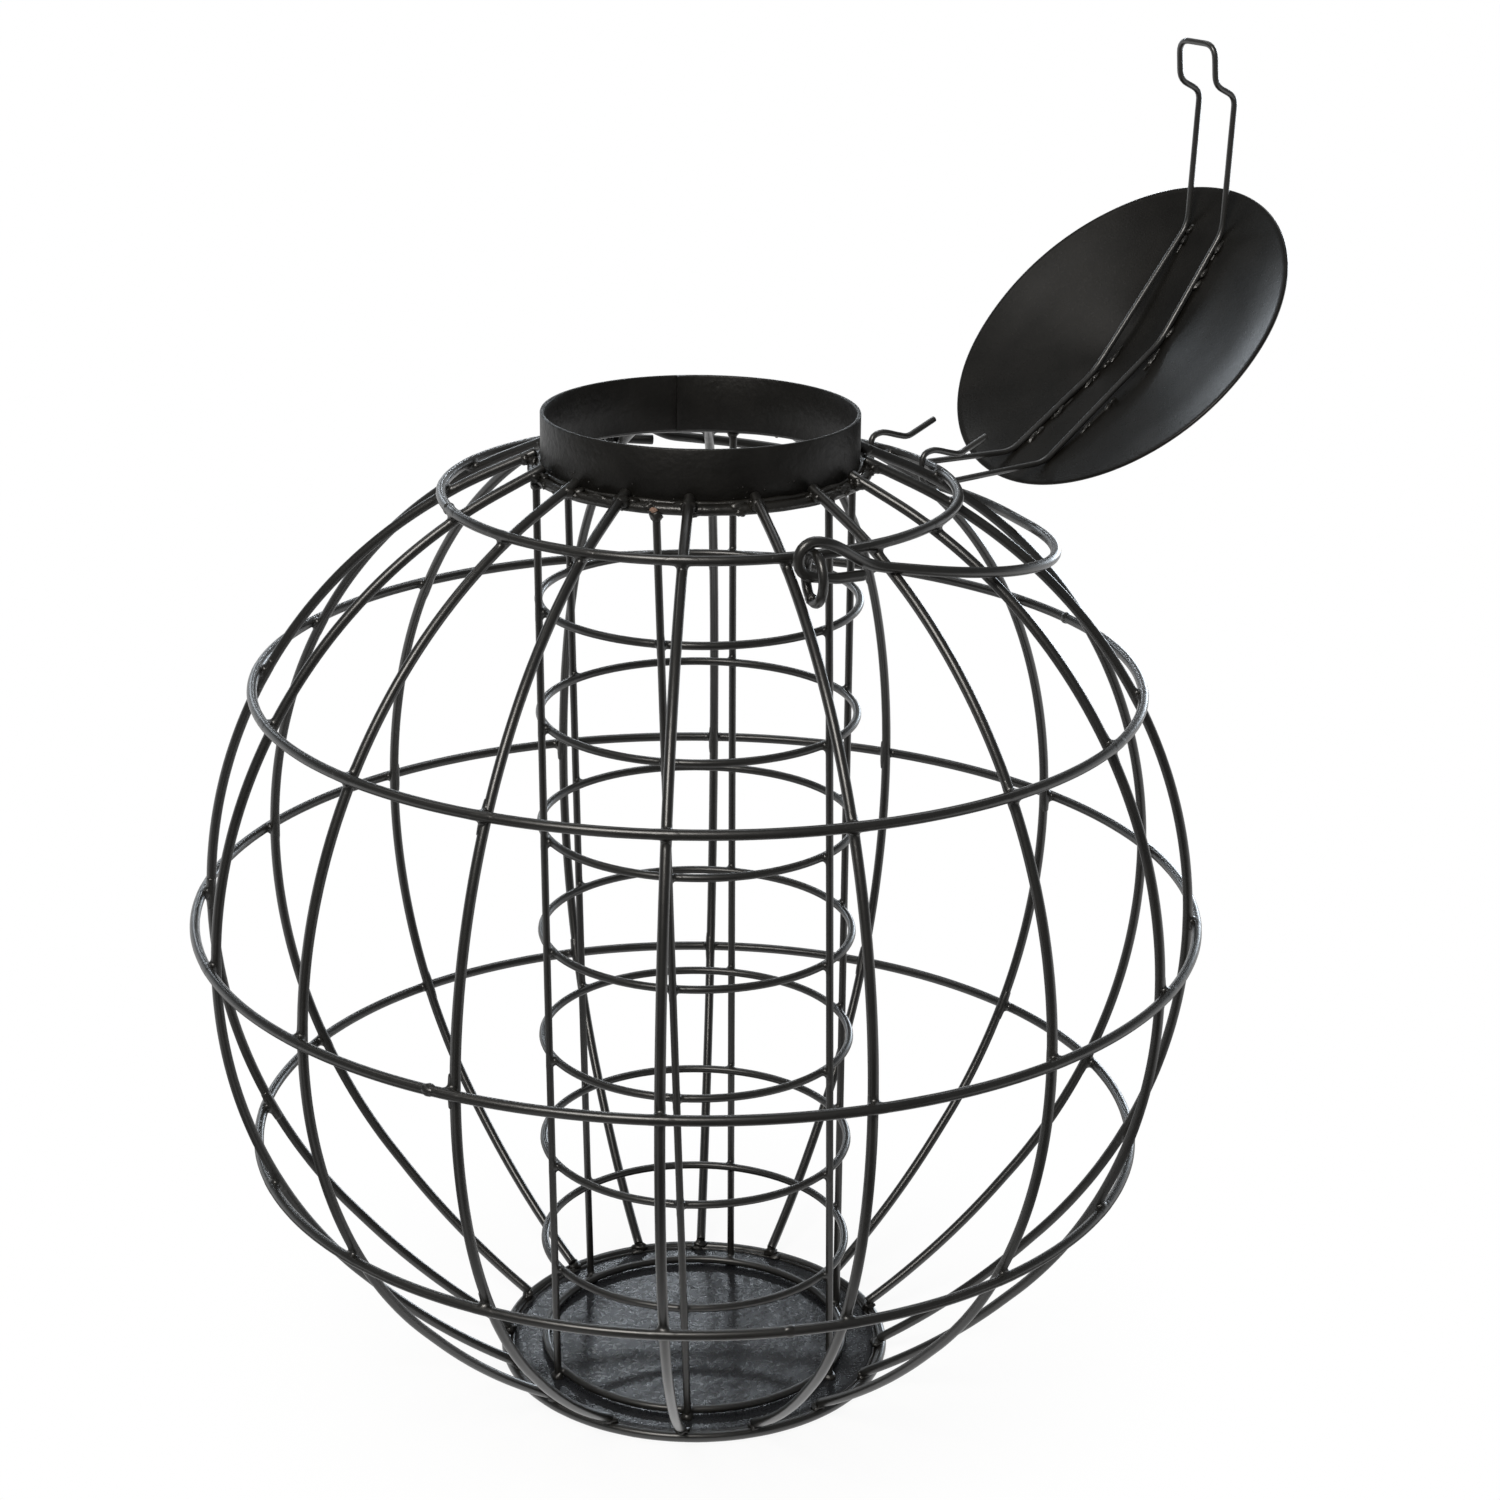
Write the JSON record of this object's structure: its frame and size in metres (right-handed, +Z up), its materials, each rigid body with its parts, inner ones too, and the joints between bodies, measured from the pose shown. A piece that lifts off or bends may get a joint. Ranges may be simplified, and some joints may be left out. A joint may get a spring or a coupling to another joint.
{
  "type": "suet feeder",
  "caption": "Ball-shaped wire cage round an inner wire tube for fat balls, with a flat base, rolled collar, hinged lid and swinging handle.",
  "frame": {"origin": "centre of the base plate's underside, the face that the feeder stands on", "axes": "+Z up along the tube, -Y to the front as pictured, the open lid leans out to the back right"},
  "size_m": [0.265, 0.2456, 0.3208],
  "materials": {
    "cage_wire_steel": "satin black powder coat on wire",
    "tube_wire_steel": "satin black powder coat on wire",
    "collar_steel": "satin black powder coat on sheet",
    "base_plate_steel": "grainy satin black powder coat on sheet",
    "lid_steel": "satin black powder coat on sheet"
  },
  "bodies": {
    "cage": {"collar": "collar_steel", "collar_ring": "cage_wire_steel", "base_plate": "base_plate_steel", "base_rim_ring": "cage_wire_steel", "tube_ring_1": "tube_wire_steel", "tube_ring_2": "tube_wire_steel", "tube_ring_3": "tube_wire_steel", "tube_ring_4": "tube_wire_steel", "tube_ring_5": "tube_wire_steel", "tube_ring_6": "tube_wire_steel", "tube_ring_7": "tube_wire_steel", "tube_ring_8": "tube_wire_steel", "tube_upright_1": "tube_wire_steel", "tube_upright_2": "tube_wire_steel", "tube_upright_3": "tube_wire_steel", "tube_upright_4": "tube_wire_steel", "tube_upright_5": "tube_wire_steel", "tube_upright_6": "tube_wire_steel", "ball_rib_01": "cage_wire_steel", "ball_rib_02": "cage_wire_steel", "ball_rib_03": "cage_wire_steel", "ball_rib_04": "cage_wire_steel", "ball_rib_05": "cage_wire_steel", "ball_rib_06": "cage_wire_steel", "ball_rib_07": "cage_wire_steel", "ball_rib_08": "cage_wire_steel", "ball_rib_09": "cage_wire_steel", "ball_rib_10": "cage_wire_steel", "ball_rib_11": "cage_wire_steel", "ball_rib_12": "cage_wire_steel", "ball_rib_13": "cage_wire_steel", "ball_rib_14": "cage_wire_steel", "ball_rib_15": "cage_wire_steel", "ball_rib_16": "cage_wire_steel", "ball_ring_1": "cage_wire_steel", "ball_ring_2": "cage_wire_steel", "ball_ring_3": "cage_wire_steel", "ball_ring_4": "cage_wire_steel", "handle_eye_front": "cage_wire_steel", "handle_eye_back": "cage_wire_steel"},
    "lid": {"lid_disc": "lid_steel", "lid_wire": "cage_wire_steel"},
    "handle": {"handle": "cage_wire_steel"}
  },
  "joints": [
    {"name": "lid_hinge", "type": "hinge", "parent": "cage", "child": "lid", "pos_m": [0.04909, 0.03476, 0.22415], "axis": [0.5779, -0.8161, 0], "range_deg": [0, 138]},
    {"name": "handle_hinge", "type": "hinge", "parent": "cage", "child": "handle", "pos_m": [0, 0, 0.227], "axis": [0.4019, -0.9157, 0], "range_deg": [0, 200]}
  ]
}
